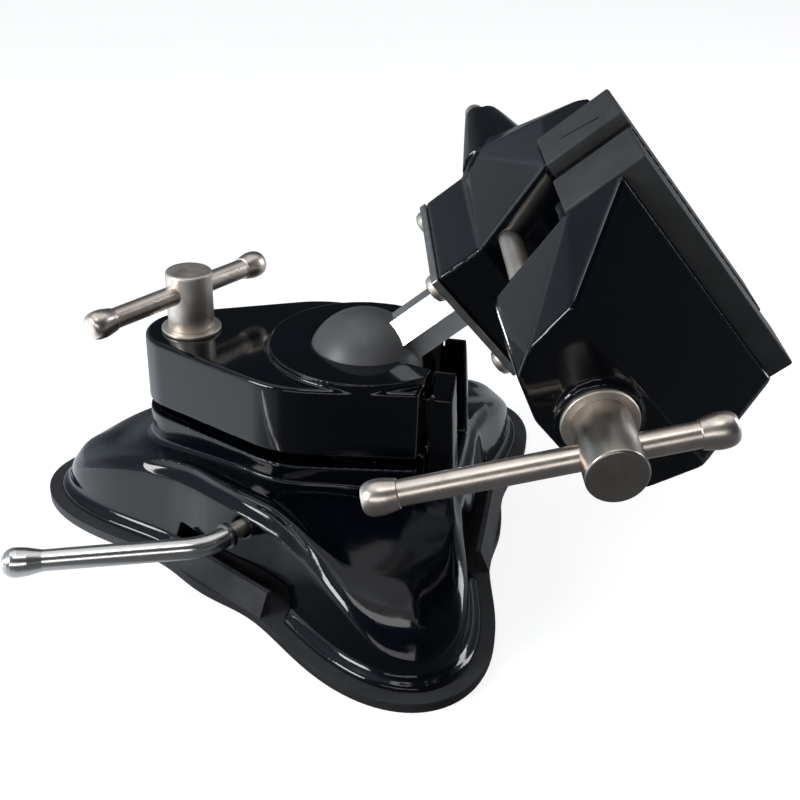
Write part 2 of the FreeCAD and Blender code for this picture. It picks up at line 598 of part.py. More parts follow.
# hollow over the plate, with corner bosses for the plate's screws
hol = box(-16.4, 16.4, -18.0, 23.0, PLATE_TOP - 1, 55.0)
for x, y in SCR:
    hol = hol.cut(Part.makeCylinder(3.6, 20, V(x, y, 38)))
    hol = hol.cut(box(min(x, x * 1.4), max(x, x * 1.4), min(y, y * 1.4), max(y, y * 1.4), 38, 58))
fx = fx.cut(hol)
# upper hollow, open to the lower one, around the bores
hol = hull([q(-16.4, -22, 54), q(16.4, -22, 54), q(-16.4, 17.5, 54), q(16.4, 17.5, 54), q(-19.5, -22, 60), q(19.5, -22, 60),
            q(-19.5, -22, 66), q(19.5, -22, 66), q(-15.5, -22, 71), q(15.5, -22, 71), q(-25.0, 2, 77), q(25.0, 2, 77),
            q(-28.0, 16.5, 80), q(28.0, 16.5, 80), q(-28.5, 16.5, 92), q(28.5, 16.5, 92), q(-18.0, 16.5, 60), q(18.0, 16.5, 60)])
hol = hol.cut(cyl(8.4, q(0, -30, SP_U), q(0, 30, SP_U)))
for sg in (1, -1):
    hol = hol.cut(cyl(6.2, q(sg * ROD_W, -30, ROD_U), q(sg * ROD_W, 30, ROD_U)))
    hol = hol.cut(box(min(sg * 15.3, sg * 30), max(sg * 15.3, sg * 30), -60, 60, 50, ROD_U))
hol = hol.cut(box(-1.5, 1.5, -60, 60, SP_U, 110))
for x, y in SCR:
    hol = hol.cut(Part.makeCylinder(3.6, 20, V(x, y, 38)))
fx = fx.cut(hol)
for x, y in SCR:
    fx = fx.cut(Part.makeCylinder(1.8, 12, V(x, y, 38)))
fx = fx.cut(cyl(SPIN_R + 0.06, q(0, -70, SP_U), q(0, 60, SP_U)))
for sg in (1, -1):
    fx = fx.cut(cyl(ROD_R + 0.06, q(sg * ROD_W, -80, ROD_U), q(sg * ROD_W, 60, ROD_U)))
fx = fx.removeSplitter()
save("fixed_jaw", put(fx))
cv = box(-JAW_W, JAW_W, -FIX_S1, -FIX_S0, COV_U0, COV_U1).cut(box(-32.0, 32.0, -32.2, -24.0, COV_U0 - 1, 100.5))
save("fixed_jaw_cover", put(cv))

# ----------------------------------------------------------------- moving jaw
mp = []
for sg in (1, -1):
    mp += [q(sg * 34.6, 63.0, 97.5), q(sg * 34.6, 61.5, 97.5), q(sg * 34.6, 61.5, 83.5), q(sg * 23.7, 45.4, COV_U0), q(sg * 33.0, 61.5, COV_U0),
           q(sg * 18, 45.4, 53.7), q(sg * 6, 45.4, 48.6), q(sg * 27.8, 85.5, 75.3), q(sg * 24.7, 85.5, 61.7), q(sg * 20.6, 85.5, 56.2), q(sg * 8, 85.5, 52.5)]
mj = hull(mp)
mj = mj.cut(box(-JAW_W - 1, JAW_W + 1, -MOV_S1, -MOV_S0 + 1, COV_U0, COV_U1 + 5))
mj = mj.fuse(cyl(10.0, q(0, 50.0, SP_U), q(0, 86.7, SP_U)))
mj = mj.fuse(box(-31.5, 31.5, -58.0, -49.4, 80.0, 100.5))
# hollow behind the face, around the bores
hol = hull([q(-21.0, 44.0, 79.5), q(21.0, 44.0, 79.5), q(-14.0, 44.0, 57.0), q(14.0, 44.0, 57.0), q(-5.0, 44.0, 52.5), q(5.0, 44.0, 52.5),
            q(-29.0, 62.0, 85.0), q(29.0, 62.0, 85.0), q(-24.0, 80.5, 73.0), q(24.0, 80.5, 73.0), q(-21.5, 80.5, 62.0), q(21.5, 80.5, 62.0),
            q(-18.0, 80.5, 59.0), q(18.0, 80.5, 59.0), q(-7.0, 80.5, 55.5), q(7.0, 80.5, 55.5)])
hol = hol.cut(cyl(8.4, q(0, 40, SP_U), q(0, 90, SP_U)))
hol = hol.cut(cyl(11.5, q(0, 40, SP_U), q(0, 51.5, SP_U)))
for sg in (1, -1):
    hol = hol.cut(cyl(6.0, q(sg * ROD_W, 40, ROD_U), q(sg * ROD_W, 77.0, ROD_U)))
    hol = hol.cut(box(sg * 9.0 - 1.2, sg * 9.0 + 1.2, -90, -40, 40, 100))
mj = mj.cut(hol)
mj = mj.cut(cyl(SPIN_R + 0.08, q(0, 40, SP_U), q(0, 90, SP_U)))
mj = mj.cut(cyl(8.6, q(0, 45.3, SP_U), q(0, 48.8, SP_U)))
for sg in (1, -1):
    mj = mj.cut(cyl(ROD_R, q(sg * ROD_W, 40, ROD_U), q(sg * ROD_W, 74.0, ROD_U)))
mj = mj.removeSplitter()
save("moving_jaw", put(mj))
cm = box(-JAW_W, JAW_W, -MOV_S1, -MOV_S0, COV_U0, COV_U1).cut(box(-31.5, 31.5, -58.0, -49.4, COV_U0 - 1, 100.5))
save("moving_jaw_cover", put(cm))
save("guide_rods", *[put(cyl(ROD_R, q(sg * ROD_W, -65.0, ROD_U), q(sg * ROD_W, 74.0, ROD_U))) for sg in (1, -1)])

# -------------------------------------------------------------------- spindle
SB = V(0.444, 0, 0.896).normalize()
hb = hub(HUB_R, 18.6)
hb.Placement = FreeCAD.Placement(V(*q(0, 88.2, SP_U)), FreeCAD.Rotation(V(0, 0, 1), V(0, -1, 0)))
sp = fuse(hb, cyl(SPIN_R, q(0, -46, SP_U), q(0, 88.2, SP_U)))
sc = V(*q(0, 98.0, SP_U))
sp = sp.cut(Part.makeCylinder(BAR_R + 0.08, 60, sc - SB * 30, SB))
sp = sp.cut(cyl(9, q(0, 47.0, SP_U), q(0, 48.2, SP_U)).cut(cyl(3.6, q(0, 40, SP_U), q(0, 60, SP_U))))
save("spindle", put(sp))
save("spindle_ring", put(cyl(7.6, q(0, 47.05, SP_U), q(0, 48.15, SP_U)).cut(cyl(3.6, q(0, 40, SP_U), q(0, 60, SP_U)))))
save("spindle_washer", put(cyl(9.0, q(0, 86.8, SP_U), q(0, 88.2, SP_U)).cut(cyl(SPIN_R + 0.02, q(0, 80, SP_U), q(0, 95, SP_U)))))
sn, sf = sc - SB * 50.3, sc + SB * 23.5
save("spindle_bar", put(Part.makeCylinder(BAR_R, (sf - sn).Length - 8.4, sn + SB * 4.2, SB)))
save("spindle_bar_ends", put(bar_end(sn, SB * -1)), put(bar_end(sf, SB)))
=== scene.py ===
import json
import math

import bmesh
import bpy
import numpy as np
from mathutils import Matrix, Vector


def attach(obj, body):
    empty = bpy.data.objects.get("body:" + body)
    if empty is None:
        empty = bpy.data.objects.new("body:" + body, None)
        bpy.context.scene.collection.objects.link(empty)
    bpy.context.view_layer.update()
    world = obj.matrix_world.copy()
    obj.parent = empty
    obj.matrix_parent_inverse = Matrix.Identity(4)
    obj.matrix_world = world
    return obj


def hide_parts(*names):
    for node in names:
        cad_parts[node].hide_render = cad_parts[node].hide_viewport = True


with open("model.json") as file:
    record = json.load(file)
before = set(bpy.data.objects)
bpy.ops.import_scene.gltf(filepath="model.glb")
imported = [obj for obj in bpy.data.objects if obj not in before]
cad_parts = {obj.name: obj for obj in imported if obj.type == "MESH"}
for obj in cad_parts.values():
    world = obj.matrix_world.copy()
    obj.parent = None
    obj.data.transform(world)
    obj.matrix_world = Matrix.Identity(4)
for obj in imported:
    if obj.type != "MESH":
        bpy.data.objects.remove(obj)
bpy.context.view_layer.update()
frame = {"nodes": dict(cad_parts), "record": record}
nodes = frame["nodes"]
MM = 0.001

# ------------------------------------------------------------------ frames
BALL = Vector((10.58, 0.0, 55.57)) * MM
HEAD = (Matrix.Translation(BALL) @ Matrix.Rotation(math.radians(8.25), 4, "Z")
        @ Matrix.Rotation(math.radians(50.098), 4, "Y") @ Matrix.Rotation(math.radians(7.77), 4, "Z"))


def hq(w, s, u):
    return HEAD @ Vector((w * MM, -s * MM, u * MM))


def new_object(name, mesh, body, slot, *stands_for):
    o = bpy.data.objects.new(name, mesh)
    bpy.context.scene.collection.objects.link(o)
    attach(o, body)
    if stands_for:
        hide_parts(*stands_for)
    return o


def smooth(mesh, on=True):
    mesh.polygons.foreach_set("use_smooth", [on] * len(mesh.polygons))


def mesh_of(bm, name):
    me = bpy.data.meshes.new(name)
    bm.to_mesh(me)
    bm.free()
    return me


def set_mat(o, mat):
    if not o.data.materials:
        o.data.materials.append(mat)
    for k in range(len(o.data.materials)):
        o.data.materials[k] = mat


def bake_modifiers(o):
    dg = bpy.context.evaluated_depsgraph_get()
    me = bpy.data.meshes.new_from_object(o.evaluated_get(dg))
    old = o.data
    o.modifiers.clear()
    o.data = me
    bpy.data.meshes.remove(old)


# --------------------------------------------------------------- materials
class Nodes:
    def __init__(self, name):
        self.m = bpy.data.materials.new(name)
        self.m.use_nodes = True
        self.t = self.m.node_tree
        self.t.nodes.clear()
        self.out = self.t.nodes.new("ShaderNodeOutputMaterial")
        self.b = self.t.nodes.new("ShaderNodeBsdfPrincipled")
        self.t.links.new(self.b.outputs[0], self.out.inputs[0])
        self.co = self.t.nodes.new("ShaderNodeTexCoord").outputs["Object"]

    def n(self, kind, **kw):
        x = self.t.nodes.new(kind)
        for k, v in kw.items():
            if k in x.inputs:
                x.inputs[k].default_value = v
            else:
                setattr(x, k, v)
        return x

    def link(self, a, b):
        self.t.links.new(a, b)

    def noise(self, scale, detail=3.0, rough=0.55, stretch=None):
        src = self.co
        if stretch:
            mp = self.n("ShaderNodeMapping")
            mp.inputs["Scale"].default_value = stretch
            self.link(src, mp.inputs["Vector"])
            src = mp.outputs[0]
        x = self.n("ShaderNodeTexNoise")
        x.inputs["Scale"].default_value = scale
        x.inputs["Detail"].default_value = detail
        x.inputs["Roughness"].default_value = rough
        self.link(src, x.inputs["Vector"])
        return x.outputs["Fac"]

    def ramp(self, fac, stops):
        r = self.n("ShaderNodeValToRGB")
        e = r.color_ramp.elements
        while len(e) < len(stops):
            e.new(0.5)
        for k, (p, c) in enumerate(stops):
            e[k].position = p
            e[k].color = c if len(c) == 4 else (*c, 1)
        self.link(fac, r.inputs[0])
        return r.outputs[0]

    def bump(self, height, strength, dist, normal=None):
        b = self.n("ShaderNodeBump")
        b.inputs["Strength"].default_value = strength
        b.inputs["Distance"].default_value = dist
        self.link(height, b.inputs["Height"])
        if normal is not None:
            self.link(normal, b.inputs["Normal"])
        return b.outputs[0]

    def rng(self, fac, lo, hi):
        m = self.n("ShaderNodeMapRange")
        m.inputs["To Min"].default_value = lo
        m.inputs["To Max"].default_value = hi
        self.link(fac, m.inputs["Value"])
        return m.outputs[0]


def enamel(name, tint=(0.0012, 0.0019, 0.0038), peel=0.035):
    k = Nodes(name)
    b = k.b
    big = k.noise(35, 2)
    col = k.ramp(big, [(0.3, tint), (0.7, tuple(c * 1.5 for c in tint))])
    k.link(col, b.inputs["Base Color"])
    fine = k.noise(900, 3)
    dust = k.noise(260, 5, 0.7)
    k.link(k.rng(dust, 0.06, 0.13), b.inputs["Roughness"])
    b.inputs["Specular IOR Level"].default_value = 0.52
    b.inputs["Coat Weight"].default_value = 0.08
    b.inputs["Coat Roughness"].default_value = 0.03
    b.inputs["Coat IOR"].default_value = 1.55
    n1 = k.bump(k.noise(160, 2), peel, 0.0006)
    n2 = k.bump(fine, 0.02, 0.0001, n1)
    k.link(n2, b.inputs["Normal"])
    return k.m


def nickel(name, base=(0.86, 0.79, 0.71), rough=0.40, grain=420, strength=0.018):
    k = Nodes(name)
    b = k.b
    b.inputs["Metallic"].default_value = 1.0
    blot = k.noise(120, 4, 0.6)
    col = k.ramp(blot, [(0.25, tuple(c * 0.80 for c in base)), (0.55, base), (0.8, tuple(min(1, c * 1.08) for c in base))])
    k.link(col, b.inputs["Base Color"])
    k.link(k.rng(k.noise(300, 4, 0.7), rough * 0.7, rough * 1.5), b.inputs["Roughness"])
    k.link(k.bump(k.noise(grain, 4, 0.65), strength, 0.0001), b.inputs["Normal"])
    return k.m


def chrome(name):
    k = Nodes(name)
    b = k.b
    b.inputs["Metallic"].default_value = 1.0
    col = k.ramp(k.noise(60, 3), [(0.3, (0.95, 0.93, 0.90)), (0.7, (0.98, 0.965, 0.94))])
    k.link(col, b.inputs["Base Color"])
    k.link(k.rng(k.noise(160, 3, 0.6), 0.17, 0.25), b.inputs["Roughness"])
    k.link(k.bump(k.noise(420, 3), 0.005, 0.0001), b.inputs["Normal"])
    return k.m


def zinc(name):
    k = Nodes(name)
    b = k.b
    b.inputs["Metallic"].default_value = 1.0
    v = k.n("ShaderNodeTexVoronoi")
    v.inputs["Scale"].default_value = 260
    k.link(k.co, v.inputs["Vector"])
    col = k.ramp(v.outputs["Distance"], [(0.0, (0.42, 0.42, 0.41)), (0.8, (0.60, 0.60, 0.58))])
    k.link(col, b.inputs["Base Color"])
    k.link(k.rng(k.noise(200, 4, 0.7), 0.28, 0.5), b.inputs["Roughness"])
    k.link(k.bump(k.noise(700, 3), 0.15, 0.0001), b.inputs["Normal"])
    return k.m


def rubber(name, c0=(0.028, 0.029, 0.032), c1=(0.050, 0.051, 0.055), rough=0.62):
    k = Nodes(name)
    b = k.b
    col = k.ramp(k.noise(90, 5, 0.65), [(0.3, c0), (0.72, c1)])
    k.link(col, b.inputs["Base Color"])
    k.link(k.rng(k.noise(400, 4, 0.7), rough - 0.12, rough + 0.15), b.inputs["Roughness"])
    b.inputs["Specular IOR Level"].default_value = 0.45
    n1 = k.bump(k.noise(1500, 4, 0.7), 0.25, 0.0001)
    k.link(k.bump(k.noise(220, 3), 0.10, 0.0004, n1), b.inputs["Normal"])
    return k.m


def polymer(name):
    k = Nodes(name)
    b = k.b
    col = k.ramp(k.noise(140, 6, 0.7), [(0.25, (0.085, 0.086, 0.088)), (0.8, (0.115, 0.117, 0.120))])
    k.link(col, b.inputs["Base Color"])
    k.link(k.rng(k.noise(500, 5, 0.75), 0.36, 0.52), b.inputs["Roughness"])
    b.inputs["Specular IOR Level"].default_value = 0.75
    k.link(k.bump(k.noise(900, 4, 0.7), 0.18, 0.00012), b.inputs["Normal"])
    return k.m


def cover_mat(name):
    k = Nodes(name)
    b = k.b
    col = k.ramp(k.noise(120, 5, 0.6), [(0.3, (0.040, 0.041, 0.042)), (0.75, (0.060, 0.061, 0.062))])
    k.link(col, b.inputs["Base Color"])
    k.link(k.rng(k.noise(350, 5, 0.7), 0.46, 0.66), b.inputs["Roughness"])
    k.link(k.bump(k.noise(1600, 4, 0.7), 0.22, 0.0001), b.inputs["Normal"])
    return k.m


M_enamel = enamel("enamel")
M_nickel = nickel("nickel")
# a lighter, warmer copy of the nickel: painted light and painted warm reflection for the T-bars and their ends; its
# lower roughness is their real polish
M_nickel_painted_light = nickel("nickel_painted_light", (0.94, 0.83, 0.74), 0.28)
# a darker copy of the same nickel: painted shade for the spindle and its hub
M_nickel_painted_shade = nickel("nickel_painted_shade", (0.56, 0.505, 0.45), 0.30)
M_stem = nickel("stem_nickel", (0.84, 0.84, 0.82), 0.20)
M_chrome = chrome("chrome")
M_zinc = zinc("zinc")
M_rubber = rubber("rubber")
M_ball = polymer("ball_polymer")
M_cover = cover_mat("cover")
M_dark = nickel("dark_steel", (0.20, 0.20, 0.21), 0.30)

MAT = {"enamel": M_enamel, "nickel": M_nickel, "chrome": M_chrome, "zinc": M_zinc, "rubber": M_rubber,
       "polymer": M_ball, "cover": M_cover, "dark_steel": M_dark}
slot_of = {r["node"]: r["material_slot"] for r in frame["record"]["subparts"]}
for n, o in nodes.items():
    set_mat(o, MAT[slot_of[n]])
# the T-bars and their barrel ends get the lighter nickel copy, which paints light into their colour
for n in ("clamp_bar", "spindle_bar", "clamp_bar_ends", "spindle_bar_ends"):
    set_mat(nodes[n], M_nickel_painted_light)
set_mat(nodes["ball_stem"], M_stem)
set_mat(nodes["guide_rods"], M_nickel)
set_mat(nodes["lever_collar"], M_dark)
set_mat(nodes["lever_shaft"], M_nickel)


# --------------------------------------------- cast parts with soft edges
def cast(node, body, mat, voxel, passes, name, shell=None, op="INTERSECT"):
    src = nodes[node]
    me = src.data.copy()
    bm = bmesh.new()
    bm.from_mesh(me)
    bmesh.ops.remove_doubles(bm, verts=bm.verts, dist=2e-6)
    bm.to_mesh(me)
    bm.free()
    o = new_object(name, me, body, slot_of[node], node)
    if shell:
        boolean(o, [shell()], op)
    v = voxel * 1.0
    r = o.modifiers.new("remesh", "REMESH")
    r.mode = "VOXEL"
    r.voxel_size = v
    r.adaptivity = 0.0
    sm = o.modifiers.new("smooth", "SMOOTH")
    sm.factor = 0.5
    sm.iterations = passes
    bake_modifiers(o)
    smooth(o.data)
    set_mat(o, mat)
    return o


# ----------------------------------------------------------- turned pieces
def lathe(profile, n=96, name="lathe"):
    # profile of (radius, height) in mm around +Z; smooth surface
    verts, faces = [], []
    rows = []
    for r, z in profile:
        if r < 1e-6:
            rows.append([len(verts)])
            verts.append((0, 0, z * MM))
        else:
            rows.append(list(range(len(verts), len(verts) + n)))
            for k in range(n):
                a = 2 * math.pi * k / n
                verts.append((r * MM * math.cos(a), r * MM * math.sin(a), z * MM))
    for a, b in zip(rows, rows[1:]):
        for k in range(n):
            q = (k + 1) % n
            if len(a) == 1 and len(b) == 1:
                continue
            if len(a) == 1:
                faces.append((a[0], b[q], b[k]))
            elif len(b) == 1:
                faces.append((a[k], a[q], b[0]))
            else:
                faces.append((a[k], a[q], b[q], b[k]))
    me = bpy.data.meshes.new(name)
    me.from_pydata(verts, [], faces)
    me.validate()
    bm = bmesh.new()
    bm.from_mesh(me)
    bmesh.ops.recalc_face_normals(bm, faces=bm.faces)
    bm.to_mesh(me)
    bm.free()
    smooth(me)
    return me


def arc(cx, cz, r, a0, a1, n):
    return [(cx + r * math.cos(math.radians(a0 + (a1 - a0) * k / n)), cz + r * math.sin(math.radians(a0 + (a1 - a0) * k / n))) for k in range(n + 1)]


def place(o, origin, zdir):
    z = Vector(zdir).normalized()
    o.matrix_world = Matrix.Translation(origin) @ z.to_track_quat("Z", "Y").to_matrix().to_4x4()


def turned(name, profile, origin, zdir, body, slot, mat, stands=(), n=96):
    me = lathe(profile, n, name)
    z = Vector(zdir).normalized()
    me.transform(Matrix.Translation(Vector(origin)) @ z.to_track_quat("Z", "Y").to_matrix().to_4x4())
    o = new_object(name, me, body, slot, *stands)
    set_mat(o, mat)
    return o


def rounded_hull(points, width, segs=4, deg=9):
    # convex block with rounded edges, in head coordinates (w, s, u)
    bm = bmesh.new()
    for p in points:
        bm.verts.new(hq(*p))
    bmesh.ops.convex_hull(bm, input=bm.verts)
    bmesh.ops.delete(bm, geom=[v for v in bm.verts if not v.link_faces], context="VERTS")
    bmesh.ops.dissolve_limit(bm, angle_limit=math.radians(1.5), verts=bm.verts, edges=bm.edges)
    lim = math.radians(deg)
    ed = [x for x in bm.edges if len(x.link_faces) == 2 and x.calc_face_angle(0.0) > lim]
    bmesh.ops.bevel(bm, geom=ed, offset=width * MM, offset_type="OFFSET", segments=segs, profile=0.5, affect="EDGES", clamp_overlap=True)
    bmesh.ops.triangulate(bm, faces=bm.faces)
    return mesh_of(bm, "block")


def head_cyl(r0, r1, p, q, n=64, rim=0.0):
    # cone or cylinder between two head points, rounded rim at q
    P, Q = hq(*p), hq(*q)
    h = (Q - P).length / MM
    prof = [(0, 0), (r0, 0)]
    prof += arc(r1 - rim, h - rim, rim, 0, 90, 5) if rim else [(r1, h)]
    prof += [(0, h)]
    me = lathe(prof, n, "cyl")
    me.transform(Matrix.Translation(P) @ (Q - P).normalized().to_track_quat("Z", "Y").to_matrix().to_4x4())
    return me


def boolean(o, meshes, op):
    for me in meshes:
        c = bpy.data.objects.new("tool", me)
        bpy.context.scene.collection.objects.link(c)
        m = o.modifiers.new("b", "BOOLEAN")
        m.operation = op
        m.solver = "EXACT"
        m.object = c
        bpy.context.view_layer.update()
        bake_modifiers(o)
        bpy.data.objects.remove(c)
        bpy.data.meshes.remove(me)


def envelope(parts):
    o = bpy.data.objects.new("envelope", parts[0])
    bpy.context.scene.collection.objects.link(o)
    boolean(o, parts[1:], "UNION")
    me = o.data
    bpy.data.objects.remove(o)
    return me


JW, PT, SPU, RW, RU = 35.0, 40.0, 64.0, 18.0, 62.5


def block(w0, w1, s0, s1, u0, u1, width=0.0):
    pts = [(w, s, u) for w in (w0, w1) for s in (s0, s1) for u in (u0, u1)]
    return rounded_hull(pts, width) if width else rounded_hull(pts, 0.01, 1)


def moving_envelope():
    mp = []
    for g in (1, -1):
        mp += [(g * 34.6, 63.0, 97.5), (g * 34.6, 61.5, 97.5), (g * 34.6, 61.5, 83.5), (g * 23.7, 45.4, 82.6), (g * 33.0, 61.5, 82.6),
               (g * 18, 45.4, 53.7), (g * 6, 45.4, 48.6), (g * 27.8, 85.5, 75.3), (g * 24.7, 85.5, 61.7), (g * 20.6, 85.5, 56.2), (g * 8, 85.5, 52.5)]
    return envelope([rounded_hull(mp, 2.3), head_cyl(10.02, 10.0, (0, 50.0, SPU), (0, 86.7, SPU), 72, 0.6), block(-31.6, 31.6, 49.3, 59.0, 79.9, 100.6)])


def fixed_envelope():
    up = []
    for g in (1, -1):
        up += [(g * 19.4, -26, 54), (g * 23.6, -26, 58.5), (g * 23.8, -26, 68.0), (g * 19.0, -26, 75.5), (g * 19.4, 21, 54), (g * 30.5, -3.0, 80.5),
               (g * 33.8, 8.6, 85.5), (g * 34.3, 14.6, 96.2), (g * 34.3, 17.2, 98.4), (g * 34.3, 20.5, 98.6), (g * 33.2, 33.0, 82.0), (g * 34.0, 33.0, 82.6),
               (g * 34.0, 24.0, 98.5)]
    parts = [rounded_hull(up, 1.3), block(-19.4, 19.4, -26.0, 21.0, PT, 56.5, 1.1), block(-32.1, 32.1, 23.9, 32.3, 79.9, 100.6),
             head_cyl(8.42, 8.4, (0, 20.0, SPU), (0, 34.0, SPU), 72, 0.6)]
    for g in (1, -1):
        parts.append(head_cyl(8.25, 4.15, (g * RW, -20.0, RU), (g * (RW - 0.3), -60.5, RU + 0.6), 64, 0.5))
        rb = [(-60.5, 20.6, 64.5), (-60.5, 19.8, 67.9), (-60.5, 17.0, 69.9), (-60.5, 14.6, 66.2), (-24.0, 23.0, 66.0), (-24.0, 21.0, 75.6),
              (-24.0, 14.5, 78.0), (-24.0, 11.0, 70.0)]
        parts.append(rounded_hull([(g * x, y, z) for y, x, z in rb], 1.0))
    return envelope(parts)


PSI_A = [0, 6, 9, 11.3, 13.5, 15.5, 18, 21, 27, 34, 46, 60]
RID_R = [86.4, 83.8, 80.6, 76.9, 73.2, 69.9, 66.0, 61.5, 54.8, 49.7, 46.2, 45.1]
RID_Z = [9.5, 10.9, 12.9, 15.4, 17.5, 19.1, 20.6, 21.7, 23.2, 24.1, 25.1, 25.8]
PSI_B = [0, 10, 20, 30, 40, 50, 60]
CRE_R = [66.5, 64.6, 57.3, 49.0, 44.2, 42.6, 42.1]
CRE_Z = [22.2, 23.2, 26.7, 29.3, 30.1, 30.2, 30.2]


def pchip(xs, ys, x):
    n = len(xs)
    h = [xs[i + 1] - xs[i] for i in range(n - 1)]
    m = [(ys[i + 1] - ys[i]) / h[i] for i in range(n - 1)]
    d = [0.0] * n
    for i in range(1, n - 1):
        if m[i - 1] * m[i] > 0:
            a, b = 2 * h[i] + h[i - 1], h[i] + 2 * h[i - 1]
            d[i] = (a + b) / (a / m[i - 1] + b / m[i])
    x = min(max(x, xs[0]), xs[-1])
    i = 0
    while i < n - 2 and x > xs[i + 1]:
        i += 1
    t = (x - xs[i]) / h[i]
    return (ys[i] * (1 + 2 * t) * (1 - t) ** 2 + h[i] * d[i] * t * (1 - t) ** 2
            + ys[i + 1] * t * t * (3 - 2 * t) + h[i] * d[i + 1] * t * t * (t - 1))


def closed_tube(rows, name, caps=False):
    # rows of section points; a closed ring unless it has end caps
    m, n = len(rows), len(rows[0])
    verts = [tuple(c * MM for c in q) for r in rows for q in r]
    faces = []
    for i in range(m - 1 if caps else m):
        j = (i + 1) % m
        for k in range(n):
            q = (k + 1) % n
            faces.append((i * n + k, i * n + q, j * n + q, j * n + k))
    if caps:
        faces += [tuple(range(n)), tuple(range((m - 1) * n, m * n))]
    me = bpy.data.meshes.new(name)
    me.from_pydata(verts, [], faces)
    bm = bmesh.new()
    bm.from_mesh(me)
    bmesh.ops.recalc_face_normals(bm, faces=bm.faces)
    bmesh.ops.triangulate(bm, faces=bm.faces)
    bm.to_mesh(me)
    bm.free()
    return me


def step_cutter():
    # the shallow step between the skirt's ridge and the crease above it
    rows = []
    for i in range(360):
        a = 2 * math.pi * i / 360
        ps = (math.degrees(a) + 180.0) % 120.0
        ps = min(ps, 120.0 - ps)
        r2, z2, r1, z1 = pchip(PSI_A, RID_R, ps), pchip(PSI_A, RID_Z, ps), pchip(PSI_B, CRE_R, ps), pchip(PSI_B, CRE_Z, ps)
        dx, dz = r1 - r2, z1 - z2
        ln = math.hypot(dx, dz)
        nx, nz = dz / ln, -dx / ln
        w = min(1.0, max(0.0, (ps - 15.0) / 14.0))
        w = w * w * (3 - 2 * w)
        lift = (3.8 * max(0.0, 1 - ps / 27.0) ** 1.2 + 0.9) * (1 - w)
        row = []
        for t, o in ((0.10 - 0.09 * w, lift), (0.50, lift - 0.95 * w), (0.66, lift - 1.10 * w), (0.98, lift + 0.02), (1.05, 4.5 + lift), (-0.05, 4.5 + lift)):
            r, z = r2 + dx * t + nx * o, z2 + dz * t + nz * o
            row.append((r * math.cos(a), r * math.sin(a), z))
        rows.append(row)
    return closed_tube(rows, "step")


def seat_lip():
    # rim of the clamp's socket, close around the ball
    rows = []
    for i in range(151):
        a = math.radians(43 + (317 - 43) * i / 150)
        sec = [(16.98, 60.8), (16.36, 62.45), (16.08, 63.1), (16.25, 63.45), (16.7, 63.5), (19.6, 63.5), (19.6, 60.8)]
        rows.append([(10.58 + r * math.cos(a), r * math.sin(a), z) for r, z in sec])
    return closed_tube(rows, "lip", True)


cast("base_casting", "base", M_enamel, 0.00045, 3, "base_skin", step_cutter, "DIFFERENCE")
cast("upper_clamp", "clamp", M_enamel, 0.00042, 4, "upper_clamp_skin", seat_lip, "UNION")
cast("fixed_jaw", "head", M_enamel, 0.00050, 5, "fixed_jaw_skin", fixed_envelope)
cast("moving_jaw", "slide_jaw", M_enamel, 0.00050, 5, "moving_jaw_skin", moving_envelope)


# ball
turned("ball_skin", arc(0, 0, 17.5, -90, 90, 72), BALL, (0, 0, 1), "ball", "polymer", M_ball, ("swivel_ball",), 128)

# barrel ends of the T-bars
END = ([(0, -4.2), (2.9, -4.2)] + arc(3.15, -3.9, 0.3, -90, 0, 4) + [(3.62, -3.0), (3.86, -2.0), (4.02, -1.0), (4.1, 0.0), (4.07, 0.9), (3.98, 1.7)]
       + [(3.80, 2.4), (3.52, 3.05), (3.14, 3.55), (2.7, 3.86), (2.2, 4.03), (1.6, 4.12), (0.8, 4.16), (0, 4.18)])
TX = -43.1
TB = Vector((0.475, 0.880, 0.0)).normalized()
bc = Vector((TX, 0, 74.4)) * MM
# the barrel ends take the lighter nickel copy too: painted light
turned("clamp_bar_end_near", END, bc - TB * 33.2 * MM, -TB, "t_bar", "nickel", M_nickel_painted_light, ("clamp_bar_ends",), 64)
turned("clamp_bar_end_far", END, bc + TB * 26.0 * MM, TB, "t_bar", "nickel", M_nickel_painted_light, (), 64)
sb0 = Vector((0.444, 0, 0.896)).normalized()
SB = (HEAD.to_3x3() @ sb0).normalized()
sc = hq(0, 98.0, 64.0)
turned("spindle_bar_end_near", END, sc - SB * 50.3 * MM, -SB, "spindle_t_bar", "nickel", M_nickel_painted_light, ("spindle_bar_ends",), 64)
turned("spindle_bar_end_far", END, sc + SB * 23.5 * MM, SB, "spindle_t_bar", "nickel", M_nickel_painted_light, (), 64)


# ------------------------------------------- screws, washers and rub covers
def helix(r0, r1, z0, z1, pitch, n=40, step=0.25):
    # threaded length as rows of rings; r0 root, r1 crest
    rows = int(round((z1 - z0) / step))
    out = []
    for j in range(rows + 1):
        z = z0 + (z1 - z0) * j / rows
        fade = min(1.0, (z - z0) / 1.2, (z1 - z) / 1.2)
        ring = []
        for k in range(n):
            f = (z / pitch - k / n) % 1.0
            t = 1 - abs(2 * f - 1)
            t = min(1.0, max(0.0, t * 1.35 - 0.12))
            r = r0 + (r1 - r0) * t * max(0.0, fade)
            a = 2 * math.pi * k / n
            ring.append((r * math.cos(a), r * math.sin(a), z))
        out.append(ring)
    return out


def ring_of(r, z, n):
    return [(r * math.cos(2 * math.pi * k / n), r * math.sin(2 * math.pi * k / n), z) for k in range(n)]


def loft(rings, name):
    # closed at both ends
    n = len(rings[0])
    verts = [tuple(c * MM for c in p) for r in rings for p in r]
    faces = []
    for i in range(len(rings) - 1):
        for k in range(n):
            q = (k + 1) % n
            faces.append((i * n + k, i * n + q, (i + 1) * n + q, (i + 1) * n + k))
    faces.append(tuple(reversed(range(n))))
    faces.append(tuple(range((len(rings) - 1) * n, len(rings) * n)))
    me = bpy.data.meshes.new(name)
    me.from_pydata(verts, [], faces)
    me.validate()
    return me


